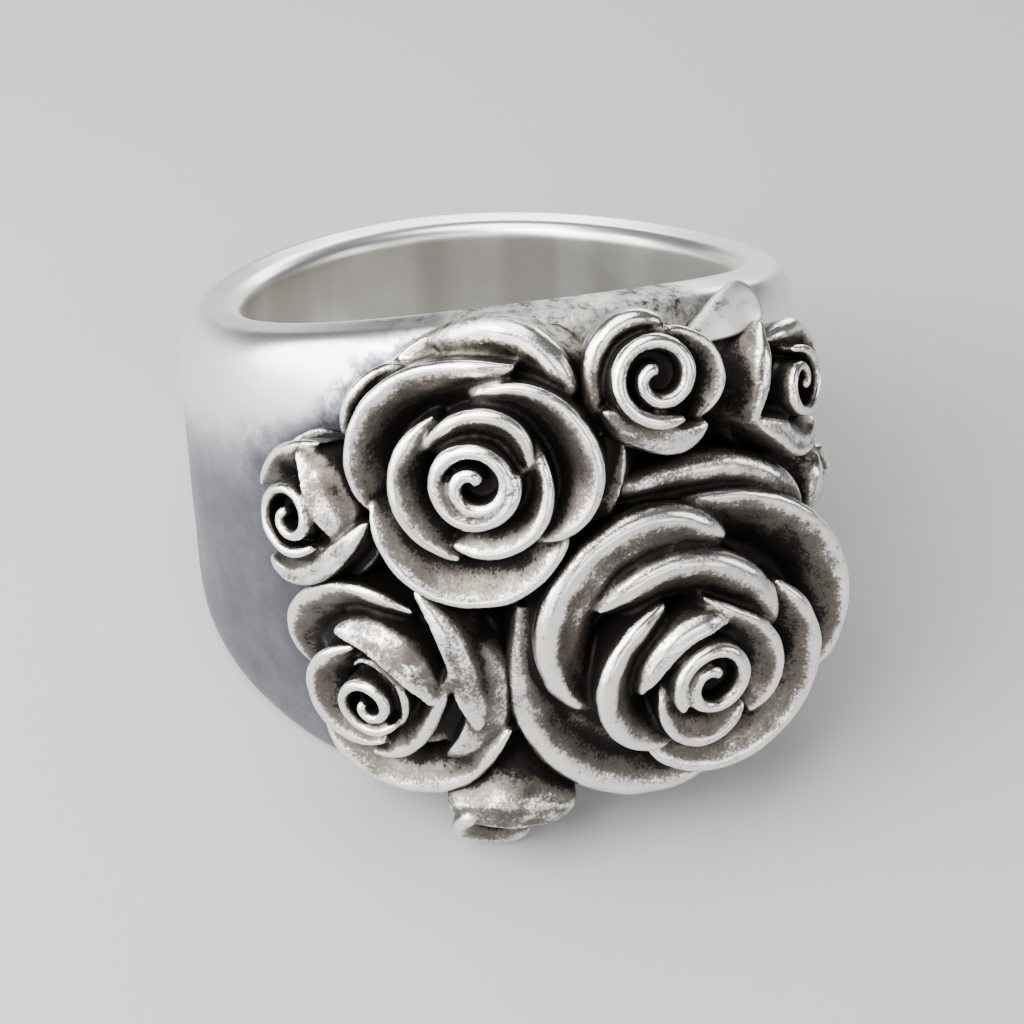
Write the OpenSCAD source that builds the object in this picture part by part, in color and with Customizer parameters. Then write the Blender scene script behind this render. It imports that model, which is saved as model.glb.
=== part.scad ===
/* [Finger hole] */
// Inner diameter of the ring, at the finger
bore_d = 18.2; // [17.8:0.1:18.6]
// Rounding of the inner edges of both rims
bore_edge = 0.35; // [0.2:0.05:0.5]

/* [Band] */
// Outer diameter of the band, without the roses
band_d = 23.2; // [22.8:0.1:23.6]
// Rounding of the outer edges of both rims
rim_edge = 0.7; // [0.4:0.05:0.9]
// Mean height of the upper rim over the middle of the finger hole
rim_up = 6.56; // [6.3:0.02:6.8]
// How much the upper rim rises to the front and falls to the back
rim_rise = 3.2; // [3:0.05:3.4]
// Extra height of the upper rim at the front and the back, taken from the sides
rim_swell = 0.45; // [0.3:0.05:0.6]
// Mean depth of the lower rim under the middle of the finger hole
rim_down = 6.58; // [6.4:0.02:6.8]
// Lean of the finger hole, with the ring set down on its flat lower rim
lean_deg = 13; // [12:0.5:14]

/* [Roses] */
// Thickness of every petal's rolled rim, as a share of the tables' values
roll_share = 1; // [0.8:0.05:1.2]
// Width of every petal's open face, as a share of the tables' values
face_share = 1; // [0.85:0.05:1.1]
// Degrees from one section of a petal to the next
petal_step = 24; // [20:1:30]

/* [Hidden] */
SILVER = [0.62, 0.61, 0.6];

// How finely the band, the finger hole and the roses' middles are divided, and where their divisions start
band_steps = 48;
bore_steps = 96;
bore_turn = 94;
coil_step = 50;
mound_steps = 18;
mound_turn = 3.7;

// Extra metal that the finger hole and the flat lower rim are cut out of
wall_sunk = 0.2;
edge_sunk = 0.06;
floor_cut = 0.15;

// A petal's section, with its rim's edges under its top and its top in from its outer edge as shares of the
// roll, then the drop inside the roll, the slope of the open face and how far its two ends swell
roll_out_sunk = 0.45;
roll_in_sunk = 0.3;
roll_top_in = 0.4;
lip_drop = 0.3;
face_slope = 0.75;
core_r = 0.1;
end_crown = 0.15;

// The coiled strip's rounded-off corners and depth
coil_corner = 0.15;
coil_depth = 1.2;

// A rose's middle: the column under its coil, the drum under its petals and the bed on the band
column_r = 0.95;
column_share = 0.8;
column_sunk = 0.75;
drum_sunk = 2.15;
drum_taper = 0.9;
bed_rise = 0.65;
bed_spread = 1.45;
foot_stagger = 0.06;

// Where each rose sits on the band, looking from outside with the front at 0 degrees and the left below 0:
// place is its centre's way round, height its bud over the middle of the finger hole, lift its bud over the
// band, turn and tilt the way it looks, foot its depth under the bud, mound its solid middle's radius
ROSE_KEYS = ["place", "height", "lift", "turn", "tilt", "foot", "mound"];
UPPER_ROSE = [-17, 6.88, 3.7, -26.4, 11.5, 5.2, 3.2];
GREAT_ROSE = [11.8, -1.22, 5, 7.4, 5.5, 7, 4.8];
LOWER_ROSE = [-30.6, -2.26, 3.7, -43.2, -0.3, 5.4, 3.1];
LEFT_ROSE = [-42.7, 3.94, 2.6, -58.6, 11.7, 3.9, 1.9];
TOP_ROSE = [5.8, 9.72, 2.9, -2.2, 25.5, 4, 1.5];
RIGHT_ROSE = [31.3, 7.42, 2.7, 43.6, 18.3, 4, 1.7];
FOOT_ROSE = [-11.8, -8.16, 3.1, -13.4, -37.7, 3.4, 1.2];
SIDE_ROSE = [53, 0.56, 2.1, 62.2, 0.3, 3.2, 0.7];

// One row for each petal, in millimetres and degrees about its rose's bud, 0 to the right and 90 up: the rim
// runs from one way to the other at four radii, lies sunk under the bud's top at its start, middle and end,
// has an open face and a rolled rim of these widths, and a skirt that stands out (in, below 0) at the foot
PETAL_KEYS = [
    "from", "to", "r_1", "r_2", "r_3", "r_4",
    "sunk_1", "sunk_2", "sunk_3", "face", "roll", "skirt"
];
UPPER_PETALS = [
    [158, 10, 2.0, 2.3, 2.4, 1.6, 0.5, 0.3, 0.5, 0.6, 0.3, -0.3],
    [130, 260, 2.4, 2.8, 3.0, 3.1, 0.7, 0.5, 0.8, 0.5, 0.45, -0.3],
    [37, -107, 2.2, 2.5, 2.7, 2.6, 0.7, 0.5, 0.6, 0.5, 0.4, -0.3],
    [207, 76, 4.2, 4.4, 3.9, 3.7, 1.4, 1.1, 1.0, 1.1, 0.35, -0.5],
    [101, -51, 2.6, 3.6, 3.9, 2.8, 1.0, 1.0, 1.1, 1.2, 0.35, -0.5],
    [203, 327, 3.9, 4.8, 4.5, 3.5, 1.3, 1.2, 1.2, 0.9, 0.35, -0.5],
    [184, 134, 4.7, 5.0, 4.8, 4.0, 2.6, 2.4, 2.2, 0.5, 0.4, -0.3],
    [120, 44, 4.4, 4.7, 4.6, 3.9, 2.2, 2.0, 1.8, 0.5, 0.5, -0.3]
];
GREAT_PETALS = [
    [177, 312, 1.6, 2.3, 2.9, 2.5, 0.6, 0.5, 0.6, 0.7, 0.35, -0.3],
    [67, 188, 2.0, 2.0, 2.0, 2.4, 0.3, 0.2, 0.5, 0.3, 0.35, 0.7],
    [115, 253, 3.2, 3.9, 3.8, 3.0, 0.8, 0.6, 1.0, 0.6, 0.45, -0.3],
    [91, -51, 2.9, 2.6, 3.1, 3.4, 0.6, 0.6, 1.0, 0.8, 0.35, -0.3],
    [141, 17, 4.7, 4.7, 4.0, 3.2, 1.2, 0.8, 0.9, 0.4, 0.6, -0.3],
    [37, -115, 4.0, 5.1, 5.2, 3.8, 1.2, 1.3, 1.6, 0.9, 0.5, -0.5],
    [77, 199, 5.0, 6.9, 6.2, 4.1, 1.2, 1.2, 1.8, 0.5, 0.9, -0.5],
    [97, -25, 6.2, 6.4, 6.5, 6.1, 1.7, 1.8, 2.3, 1.8, 0.4, -0.7],
    [114, 45, 7.6, 7.4, 7.3, 6.5, 2.2, 2.0, 2.2, 0.7, 0.5, -0.7],
    [152, 283, 6.5, 6.2, 6.1, 5.7, 2.5, 2.4, 2.2, 1.2, 0.5, -0.7]
];
LOWER_PETALS = [
    [128, -62, 1.4, 1.7, 1.4, 1.4, 0.3, 0.3, 0.4, 0.2, 0.3, -0.2],
    [125, 12, 2.7, 2.2, 2.0, 2.2, 0.3, 0.2, 0.3, 0.2, 0.3, 1.0],
    [119, 271, 2.0, 2.7, 3.0, 2.4, 0.5, 0.6, 0.7, 0.8, 0.35, -0.3],
    [-101, 36, 3.3, 2.5, 2.3, 3.3, 0.9, 0.8, 0.7, 0.3, 0.4, -0.2],
    [75, -54, 4.5, 3.2, 3.1, 3.4, 1.0, 1.0, 1.4, 0.3, 0.35, -0.2],
    [72, -30, 4.4, 4.2, 3.9, 4.1, 1.3, 1.3, 1.7, 0.4, 0.35, -0.3],
    [-136, -14, 4.0, 4.9, 4.7, 4.4, 1.4, 1.6, 1.9, 0.9, 0.4, -0.5],
    [173, 73, 4.1, 4.3, 4.2, 3.6, 1.5, 1.2, 1.1, 1.0, 0.4, -0.5]
];
LEFT_PETALS = [
    [183, 82, 2.6, 2.3, 2.4, 2.7, 0.8, 0.6, 0.4, 0.5, 0.4, -0.3],
    [97, -15, 2.2, 1.25, 1.15, 1.6, 0, 0.1, 0.4, 0.1, 0.3, 1.3],
    [-122, 15, 2.7, 2.2, 1.9, 2.8, 0.6, 0.5, 0.6, 0.4, 0.4, 0.3],
    [185, 265, 2.8, 3.0, 3.1, 2.9, 1.7, 1.7, 1.6, 0.5, 0.4, -0.2]
];
TOP_PETALS = [
    [227, 74, 2.5, 2.2, 2.3, 1.8, 1.1, 0.6, 0.4, 0.3, 0.45, -0.4],
    [107, -49, 1.3, 1.8, 2.3, 2.0, 0.4, 0.5, 0.6, 0.6, 0.3, -0.4],
    [-152, -45, 1.9, 1.5, 1.8, 2.3, 0.3, 0.2, 0.3, 0.2, 0.3, 0.7]
];
RIGHT_PETALS = [
    [103, 190, 2.6, 2.1, 2.1, 2.3, 0.4, 0.3, 0.5, 0.3, 0.35, 1.3],
    [108, -22, 2.0, 2.1, 2.4, 2.3, 0.4, 0.4, 0.5, 0.5, 0.4, -0.4],
    [20, -60, 1.7, 1.8, 1.9, 1.9, 0.3, 0.2, 0.4, 0.3, 0.35, -0.2],
    [184, 308, 2.4, 1.9, 2.4, 2.7, 0.4, 0.4, 0.5, 0.3, 0.4, 0.5]
];
FOOT_PETALS = [
    [5, 175, 1.9, 1.2, 1.2, 1.9, 0.5, 0.1, 0.5, 0.2, 0.3, 0.9],
    [160, 285, 2.1, 1.9, 1.5, 1.2, 0.7, 0.6, 0.7, 0.5, 0.35, -0.3],
    [-68, 17, 1.0, 1.2, 1.6, 2.1, 0.8, 0.8, 0.6, 0.3, 0.35, -0.2]
];
SIDE_PETALS = [
    [57, 302, 0.9, 1.0, 1.0, 0.9, 0.4, 0.3, 0.4, 0.2, 0.35, 0.2],
    [-80, 80, 1.0, 1.0, 1.0, 1.0, 0.2, 0.1, 0.2, 0.3, 0.35, 0.1]
];

// The coiled strip at each bud: from its outer end to its inner one at four radii, and its width
COIL_KEYS = ["from", "to", "r_1", "r_2", "r_3", "r_4", "width"];
UPPER_COIL = [20, -700, 1.3, 1.15, 0.75, 0.35, 0.4];
GREAT_COIL = [220, -290, 1.45, 1.3, 1.1, 0.4, 0.38];
LOWER_COIL = [-25, -530, 1.15, 1.05, 0.8, 0.35, 0.3];
LEFT_COIL = [-30, -580, 1.35, 1.1, 0.85, 0.35, 0.3];
TOP_COIL = [-60, -640, 1.55, 1.15, 0.95, 0.35, 0.42];
RIGHT_COIL = [90, -430, 1.25, 1.15, 0.8, 0.35, 0.3];
FOOT_COIL = [27, -333, 0.8, 0.75, 0.6, 0.4, 0.28];
SIDE_COIL = [0, -300, 0.6, 0.6, 0.5, 0.35, 0.25];

// The leaf beside the top rose: its place and height as a rose's, its lift, way it points, length, width
// at its broad end and thickness
LEAF_KEYS = ["place", "height", "lift", "point", "length", "width", "thick"];
LEAF = [21.5, 9.45, 0.75, 24, 3.1, 1.5, 0.85];
// Its outline from tip to broad end, as shares of its length, width and thickness
OUTLINE_KEYS = ["along", "half", "dip"];
LEAF_OUTLINE = [
    [-0.52, 0.12, 0.4],
    [-0.25, 0.28, 0.25],
    [0.1, 0.44, 0.25],
    [0.4, 0.5, 0.3],
    [0.5, 0.36, 0.45]
];
leaf_rise = 0.3;
leaf_depth = 1.5;
leaf_draft = 0.8;

bore_r = bore_d / 2;
band_r = band_d / 2;

function column(keys, name) = search([name], keys)[0];
function cell(keys, row, name) = row[column(keys, name)];

// A smooth value at share s of the way, through four values at 0, 1/3, 2/3 and 1
function through_four(v, s) =
    let (a = 3 * s, b = a - 1, c = a - 2, d = a - 3)
    -v[0] * b * c * d / 6 + v[1] * a * c * d / 2 - v[2] * a * b * d / 2 + v[3] * a * b * c / 6;

// A smooth value at share s of the way, through three values at 0, 1/2 and 1
function through_three(v, s) =
    v[0] * (1 - s) * (1 - 2 * s) + 4 * v[1] * s * (1 - s) + v[2] * s * (2 * s - 1);

function rim_top(t) = rim_up + rim_rise * cos(t) + rim_swell * cos(2 * t);
function rim_low(t, r) = -rim_down - r * cos(t) * tan(lean_deg);

// Points of one layer of a sweep joined to the next, with a fan over each open end
function sweep_faces(layers, sides) = concat(
    [for (i = [0 : layers - 2], j = [0 : sides - 1])
        let (k = (j + 1) % sides)
            [i * sides + j, i * sides + k, (i + 1) * sides + k, (i + 1) * sides + j]],
    [for (j = [0 : sides - 1]) [layers * sides, (j + 1) % sides, j]],
    [for (j = [0 : sides - 1])
        [layers * sides + 1, (layers - 1) * sides + j, (layers - 1) * sides + (j + 1) % sides]]
);

// Both halves of each four-sided face, so that none is bent
function halved(faces) = [
    for (f = faces) if (len(f) == 3) f,
    for (f = faces) if (len(f) == 4) [f[0], f[1], f[2]],
    for (f = faces) if (len(f) == 4) [f[0], f[2], f[3]]
];

function middle(points) = [for (k = [0 : 2]) sum([for (p = points) p[k]]) / len(points)];
function sum(v, i = 0) = i < len(v) ? v[i] + sum(v, i + 1) : 0;

// The crown of a sweep's end: the middle of its last section, pushed out away from the one before it
function crown(last, before) =
    let (way = middle(last) - middle(before)) middle(last) + way / norm(way) * end_crown;

// A solid through sections of equal count, with a low crown at both ends; its faces turn round if flipped
module sweep(sections, flipped = false) {
    end = len(sections) - 1;
    faces = halved(sweep_faces(end + 1, len(sections[0])));
    polyhedron(
        concat(
            [for (s = sections) each s],
            [crown(sections[0], sections[1]), crown(sections[end], sections[end - 1])]
        ),
        flipped ? [for (f = faces) [f[2], f[1], f[0]]] : faces
    );
}

function round_at(r, z, edge, from, steps) = [
    for (i = [0 : steps]) let (a = from + 90 * i / steps) [r + edge * cos(a), z + edge * sin(a)]
];

// Outline of the band's wall at the way round t: outer wall, upper rim, inner wall, lower rim
function wall_outline(t) =
    let (
        up = rim_top(t),
        low_out = rim_low(t, band_r) - floor_cut,
        low_in = rim_low(t, bore_r) - floor_cut,
        edge_r = bore_r + bore_edge - edge_sunk,
        sunk_r = bore_r - wall_sunk
    )
    concat(
        round_at(band_r - rim_edge, up - rim_edge, rim_edge, 0, 3),
        round_at(edge_r, up - bore_edge, bore_edge, 90, 2),
        [[sunk_r, up - bore_edge - wall_sunk], [sunk_r, low_in + bore_edge + wall_sunk]],
        round_at(edge_r, low_in + bore_edge, bore_edge, 180, 2),
        round_at(band_r - rim_edge, low_out + rim_edge, rim_edge, 270, 3)
    );

module band() {
    outlines = [for (i = [0 : band_steps - 1]) wall_outline(360 * i / band_steps)];
    sides = len(outlines[0]);
    points = [
        for (i = [0 : band_steps - 1], q = outlines[i])
            let (t = 360 * i / band_steps) [q[0] * sin(t), -q[0] * cos(t), q[1]]
    ];
    faces = [
        for (i = [0 : band_steps - 1], j = [0 : sides - 1])
            let (n = (i + 1) % band_steps, k = (j + 1) % sides)
            [i * sides + j, i * sides + k, n * sides + k, n * sides + j]
    ];
    polyhedron(points, halved(faces));
}

// Section of a petal at share s of the way along its rim: foot, outer wall, rolled rim, open face, foot
function petal_section(row, foot, s) =
    let (
        r = through_four([for (k = ["r_1", "r_2", "r_3", "r_4"]) cell(PETAL_KEYS, row, k)], s),
        top = -through_three([for (k = ["sunk_1", "sunk_2", "sunk_3"]) cell(PETAL_KEYS, row, k)], s),
        roll = cell(PETAL_KEYS, row, "roll") * roll_share,
        face = min(cell(PETAL_KEYS, row, "face") * face_share, r - roll - core_r),
        skirt = cell(PETAL_KEYS, row, "skirt"),
        lip = top - roll * roll_in_sunk
    )
    [
        [r + skirt, -foot],
        [r, top - roll * roll_out_sunk],
        [r - roll * roll_top_in, top],
        [r - roll, lip],
        [r - roll - face, lip - lip_drop - face_slope * face],
        [r - roll - face, -foot]
    ];

module petal(row, foot) {
    from = cell(PETAL_KEYS, row, "from");
    to = cell(PETAL_KEYS, row, "to");
    steps = max(3, ceil(abs(to - from) / petal_step));
    sections = [
        for (i = [0 : steps])
            let (s = i / steps, a = from + (to - from) * s)
            [for (q = petal_section(row, foot, s)) [q[0] * cos(a), q[0] * sin(a), q[1]]]
    ];
    sweep(sections, to < from);
}

function coil_section(r, width) = [
    [r, -coil_depth],
    [r, -coil_corner],
    [r - width / 2, 0],
    [r - width, -coil_corner],
    [r - width, -coil_depth]
];

module coil(row) {
    from = cell(COIL_KEYS, row, "from");
    to = cell(COIL_KEYS, row, "to");
    width = cell(COIL_KEYS, row, "width");
    steps = ceil(abs(to - from) / coil_step);
    sections = [
        for (i = [0 : steps])
            let (
                s = i / steps,
                a = from + (to - from) * s,
                r = through_four([for (k = ["r_1", "r_2", "r_3", "r_4"]) cell(COIL_KEYS, row, k)], s)
            )
            [for (q = coil_section(r, width)) [q[0] * cos(a), q[0] * sin(a), q[1]]]
    ];
    sweep(sections, to < from);
}

// The solid middle that the petals grow from: column at the bud, drum under the petals and bed on the band
module mound(radius, foot, lift) {
    translate([0, 0, -foot])
        rotate(mound_turn) {
            cylinder(h = foot - column_sunk, r = min(radius * column_share, column_r), $fn = mound_steps);
            cylinder(h = foot - drum_sunk, r1 = radius * drum_taper, r2 = radius, $fn = mound_steps);
            cylinder(h = foot - lift + bed_rise, r = radius * bed_spread, $fn = mound_steps);
        }
}

module rose(place, petals, curl) {
    reach = band_r + cell(ROSE_KEYS, place, "lift");
    way = cell(ROSE_KEYS, place, "place");
    foot = cell(ROSE_KEYS, place, "foot");
    translate([reach * sin(way), -reach * cos(way), cell(ROSE_KEYS, place, "height")])
        rotate([90 - cell(ROSE_KEYS, place, "tilt"), 0, cell(ROSE_KEYS, place, "turn")]) {
            for (i = [0 : len(petals) - 1]) petal(petals[i], foot + foot_stagger * i);
            coil(curl);
            mound(cell(ROSE_KEYS, place, "mound"), foot, cell(ROSE_KEYS, place, "lift"));
        }
}

module leaf() {
    reach = band_r + cell(LEAF_KEYS, LEAF, "lift");
    way = cell(LEAF_KEYS, LEAF, "place");
    long = cell(LEAF_KEYS, LEAF, "length");
    wide = cell(LEAF_KEYS, LEAF, "width");
    thick = cell(LEAF_KEYS, LEAF, "thick");
    translate([reach * sin(way), -reach * cos(way), cell(LEAF_KEYS, LEAF, "height")])
        rotate([90, 0, way])
            rotate(cell(LEAF_KEYS, LEAF, "point"))
                sweep([
                    for (row = LEAF_OUTLINE)
                        let (
                            x = long * cell(OUTLINE_KEYS, row, "along"),
                            y = wide * cell(OUTLINE_KEYS, row, "half"),
                            z = -thick * cell(OUTLINE_KEYS, row, "dip"),
                            low = -thick * leaf_depth
                        )
                        [
                            [x, -y, z],
                            [x, 0, z + thick * leaf_rise],
                            [x, y, z],
                            [x, y * leaf_draft, low],
                            [x, -y * leaf_draft, low]
                        ]
                ]);
}

module bouquet() {
    rose(UPPER_ROSE, UPPER_PETALS, UPPER_COIL);
    rose(GREAT_ROSE, GREAT_PETALS, GREAT_COIL);
    rose(LOWER_ROSE, LOWER_PETALS, LOWER_COIL);
    rose(LEFT_ROSE, LEFT_PETALS, LEFT_COIL);
    rose(TOP_ROSE, TOP_PETALS, TOP_COIL);
    rose(RIGHT_ROSE, RIGHT_PETALS, RIGHT_COIL);
    rose(FOOT_ROSE, FOOT_PETALS, FOOT_COIL);
    rose(SIDE_ROSE, SIDE_PETALS, SIDE_COIL);
    leaf();
}

// Turns the ring from its finger hole upright to resting on its lower rim, with the foot of the hole's
// axis at the origin
module set_down() {
    rotate([-lean_deg, 0, 0])
        translate([0, 0, rim_down])
            children();
}

module ring() {
    color(SILVER)
        difference() {
            resize([0, 0, 0])
                union() {
                    set_down() band();
                    set_down() bouquet();
                }
            set_down()
                translate([0, 0, -band_d])
                    rotate(bore_turn)
                        cylinder(h = 2 * band_d, r = bore_r, $fn = bore_steps);
            translate([-band_d, -band_d, -band_d])
                cube([2 * band_d, 2 * band_d, band_d]);
        }
}

ring();
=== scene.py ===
"""A silver statement ring with a bouquet of roses: its band, roses and leaf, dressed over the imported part.

Sizes are in millimetres and angles in degrees until a piece is finished, then its mesh is set down in metres.
"""

import logging
from collections.abc import Callable
from dataclasses import dataclass
from enum import Enum
from functools import partial
from math import atan2, ceil, copysign, cos, degrees, hypot, pi, radians, sin, sqrt, tan

import bmesh
import bpy
import numpy as np
from mathutils import Matrix, Vector, noise
from mathutils.bvhtree import BVHTree


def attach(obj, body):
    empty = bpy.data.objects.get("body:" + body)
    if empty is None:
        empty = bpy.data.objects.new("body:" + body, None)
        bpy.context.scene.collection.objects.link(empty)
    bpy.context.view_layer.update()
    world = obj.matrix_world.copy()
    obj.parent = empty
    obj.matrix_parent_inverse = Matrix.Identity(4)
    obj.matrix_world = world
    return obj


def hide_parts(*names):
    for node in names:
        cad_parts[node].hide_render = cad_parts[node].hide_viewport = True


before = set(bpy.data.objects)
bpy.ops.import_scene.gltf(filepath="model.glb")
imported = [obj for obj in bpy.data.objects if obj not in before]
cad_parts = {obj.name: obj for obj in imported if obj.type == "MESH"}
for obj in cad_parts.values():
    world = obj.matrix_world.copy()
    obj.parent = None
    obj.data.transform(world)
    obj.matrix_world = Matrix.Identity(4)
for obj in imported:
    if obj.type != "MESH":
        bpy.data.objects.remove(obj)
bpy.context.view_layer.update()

log = logging.getLogger("ring")
MM = 0.001
NODE = "ring"
BODY = "root"
SMALLEST_GAP = 1e-6
TIP_SHAPE = 0.8

Point = tuple[float, float]
Three = tuple[float, float, float]
Four = tuple[float, float, float, float]
Solid = bmesh.types.BMesh
Object = bpy.types.Object
Material = bpy.types.Material
Tree = bpy.types.NodeTree
Socket = bpy.types.NodeSocket


class Finish(Enum):
    """The finishes that the ring's surfaces have."""

    PETAL = "rose_silver"
    BAND = "band_silver"
    BORE = "bore_silver"
    LEAF = "leaf_silver"


@dataclass(frozen=True)
class Place:
    """Where a piece sits on the band, the way it looks, its foot's depth and its mound's radius."""

    way: float
    height: float
    lift: float
    turn: float
    tilt: float
    foot: float = 0.0
    mound: float = 0.0


@dataclass(frozen=True)
class RingSizes:
    """The sizes that the band and everything on it share."""

    bore_r: float = 9.1
    band_r: float = 11.6
    bore_edge: float = 0.35
    rim_edge: float = 0.7
    rim_up: float = 6.56
    rim_rise: float = 3.2
    rim_swell: float = 0.45
    rim_down: float = 6.58
    lean: float = 13.0

    def rim_top(self, turn: float) -> float:
        """Height of the upper rim over the finger hole's middle, at a way round in degrees from the front."""
        a = radians(turn)
        return self.rim_up + self.rim_rise * cos(a) + self.rim_swell * cos(2 * a)

    def rim_low(self, turn: float, reach: float) -> float:
        """Height, below zero, of the flat lower rim at a way round and a distance from the hole's axis."""
        return -self.rim_down - reach * cos(radians(turn)) * tan(radians(self.lean))

    def set_down(self) -> Matrix:
        """The placing that rests the ring on its lower rim, in metres."""
        turn = Matrix.Rotation(radians(-self.lean), 4, "X")
        return Matrix.Scale(MM, 4) @ turn @ Matrix.Translation((0, 0, self.rim_down))

    def seat(self, at: Place) -> Matrix:
        """What carries a piece from its own frame onto the band, in metres.

        Args:
            at: Where the piece sits and the way it looks.

        Returns:
            The placing.
        """
        way = radians(at.way)
        reach = self.band_r + at.lift
        spot = Matrix.Translation((reach * sin(way), -reach * cos(way), at.height))
        aside = Matrix.Rotation(radians(at.turn), 4, "Z")
        return self.set_down() @ spot @ (aside @ Matrix.Rotation(radians(90 - at.tilt), 4, "X"))


RING = RingSizes()


@dataclass(frozen=True)
class Strip:
    """A strip about a rose's bud: the ways it runs between and four reaches on the way."""

    start: float
    stop: float
    reach: Four

    def way(self, s: float) -> float:
        """The way that share s of the strip lies, in radians."""
        return radians(self.start + (self.stop - self.start) * s)

    def steps(self, step: float) -> int:
        """How many steps of so many degrees the strip takes."""
        return ceil(abs(self.stop - self.start) / step)

    def fullness(self, s: float, tip: float) -> float:
        """How full the strip is at share s, from 0 at its ends to 1 past its tips.

        Args:
            s: The share of the way, from 0 to 1.
            tip: The length of a tip.

        Returns:
            The fullness.
        """
        length = radians(abs(self.stop - self.start)) * sum(self.reach) / 4
        return sin(min(1.0, min(s, 1 - s) * length / tip) * pi / 2) ** TIP_SHAPE


@dataclass(frozen=True)
class Petal(Strip):
    """One petal: where its rim runs, how it lies and how thick it is."""

    sunk: Three
    face: float
    roll: float
    skirt: float
    slope: float = 0.55
    fold: float = 0.0


@dataclass(frozen=True)
class Coil(Strip):
    """The coiled strip at a rose's bud, from its outer end to its inner one."""

    width: float
    sunk: float = 0.0


# way, height, lift, turn, tilt, foot, mound
UPPER_PLACE = Place(-17, 6.88, 3.7, -26.4, 11.5, 5.2, 3.2)
GREAT_PLACE = Place(11.8, -1.22, 5.0, 7.4, 5.5, 7.0, 4.8)
LOWER_PLACE = Place(-30.6, -2.26, 3.7, -43.2, -0.3, 5.4, 3.1)
LEFT_PLACE = Place(-42.7, 3.94, 2.6, -58.6, 11.7, 3.9, 1.9)
TOP_PLACE = Place(5.8, 9.72, 2.9, -2.2, 25.5, 4.0, 1.5)
RIGHT_PLACE = Place(31.3, 7.42, 2.7, 43.6, 18.3, 4.0, 1.7)
FOOT_PLACE = Place(-11.8, -8.16, 3.1, -13.4, -37.7, 3.4, 1.2)
SIDE_PLACE = Place(53, 0.56, 2.1, 62.2, 0.3, 3.2, 0.95)

UPPER_COIL = Coil(20, -690, (1.47, 1.44, 1.05, 0.36), width=0.52)
GREAT_COIL = Coil(220, -320, (1.5, 1.42, 1.1, 0.5), width=0.54)
LOWER_COIL = Coil(-25, -560, (1.2, 1.12, 0.8, 0.35), width=0.4)
LEFT_COIL = Coil(-30, -600, (1.4, 1.2, 0.85, 0.35), width=0.4)
TOP_COIL = Coil(-60, -640, (1.65, 1.4, 1.0, 0.42), width=0.52)
RIGHT_COIL = Coil(90, -430, (1.25, 1.15, 0.8, 0.35), width=0.36)
FOOT_COIL = Coil(27, -333, (0.8, 0.75, 0.6, 0.4), width=0.28, sunk=0.4)
SIDE_COIL = Coil(0, -300, (0.6, 0.6, 0.5, 0.35), width=0.25, sunk=0.35)

UPPER_PETALS = (
    Petal(158, 10, (2.0, 2.3, 2.4, 1.6), (0.5, 0.3, 0.5), 0.6, 0.4, -0.3),
    Petal(130, 260, (2.4, 2.8, 3.0, 3.1), (0.7, 0.5, 0.8), 0.5, 0.45, -0.3),
    Petal(37, -107, (2.2, 2.5, 2.7, 2.6), (0.7, 0.5, 0.6), 0.5, 0.4, -0.3),
    Petal(207, 76, (4.2, 4.4, 3.9, 3.7), (1.4, 1.1, 1.0), 1.1, 0.35, -0.5),
    Petal(101, -51, (2.6, 3.6, 3.9, 2.8), (1.0, 1.0, 1.1), 1.2, 0.35, -0.5),
    Petal(203, 327, (3.9, 4.8, 4.5, 3.5), (1.3, 1.2, 1.2), 0.9, 0.35, -0.5),
    Petal(184, 134, (4.7, 5.0, 4.8, 4.0), (2.6, 2.4, 2.2), 0.5, 0.4, -0.3),
    Petal(120, 44, (4.4, 4.7, 4.6, 3.9), (2.2, 2.0, 1.8), 0.35, 1.0, -0.3, slope=0.3),
)
GREAT_PETALS = (
    Petal(177, 312, (1.6, 2.3, 2.9, 2.5), (0.6, 0.5, 0.6), 0.7, 0.35, -0.3),
    Petal(67, 188, (2.0, 2.0, 2.0, 2.4), (0.3, 0.2, 0.5), 0.15, 0.28, 0.5, slope=1.4),
    Petal(115, 253, (3.2, 3.9, 3.8, 3.0), (0.8, 0.6, 1.0), 0.9, 0.55, -0.3),
    Petal(91, -51, (2.9, 2.6, 3.1, 3.4), (0.6, 0.6, 1.0), 0.8, 0.35, -0.3),
    Petal(141, 17, (4.7, 4.7, 4.0, 3.2), (1.2, 0.8, 0.9), 0.8, 0.8, -0.3, slope=0.4),
    Petal(37, -115, (4.0, 5.1, 5.2, 3.8), (1.2, 1.3, 1.6), 0.9, 0.5, -0.5),
    Petal(77, 199, (5.0, 6.9, 6.2, 4.1), (1.2, 1.2, 1.8), 1.15, 1.0, -0.5, slope=0.32, fold=0.06),
    Petal(97, -25, (6.2, 6.4, 6.5, 6.1), (1.7, 1.8, 2.3), 1.8, 0.4, -0.7),
    Petal(114, 45, (7.6, 7.4, 7.3, 6.5), (2.2, 2.0, 2.2), 0.8, 0.9, -0.7, slope=0.4),
    Petal(152, 283, (6.5, 6.2, 6.1, 5.7), (2.5, 2.4, 2.2), 1.3, 0.95, -0.7, slope=0.45),
)
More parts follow.
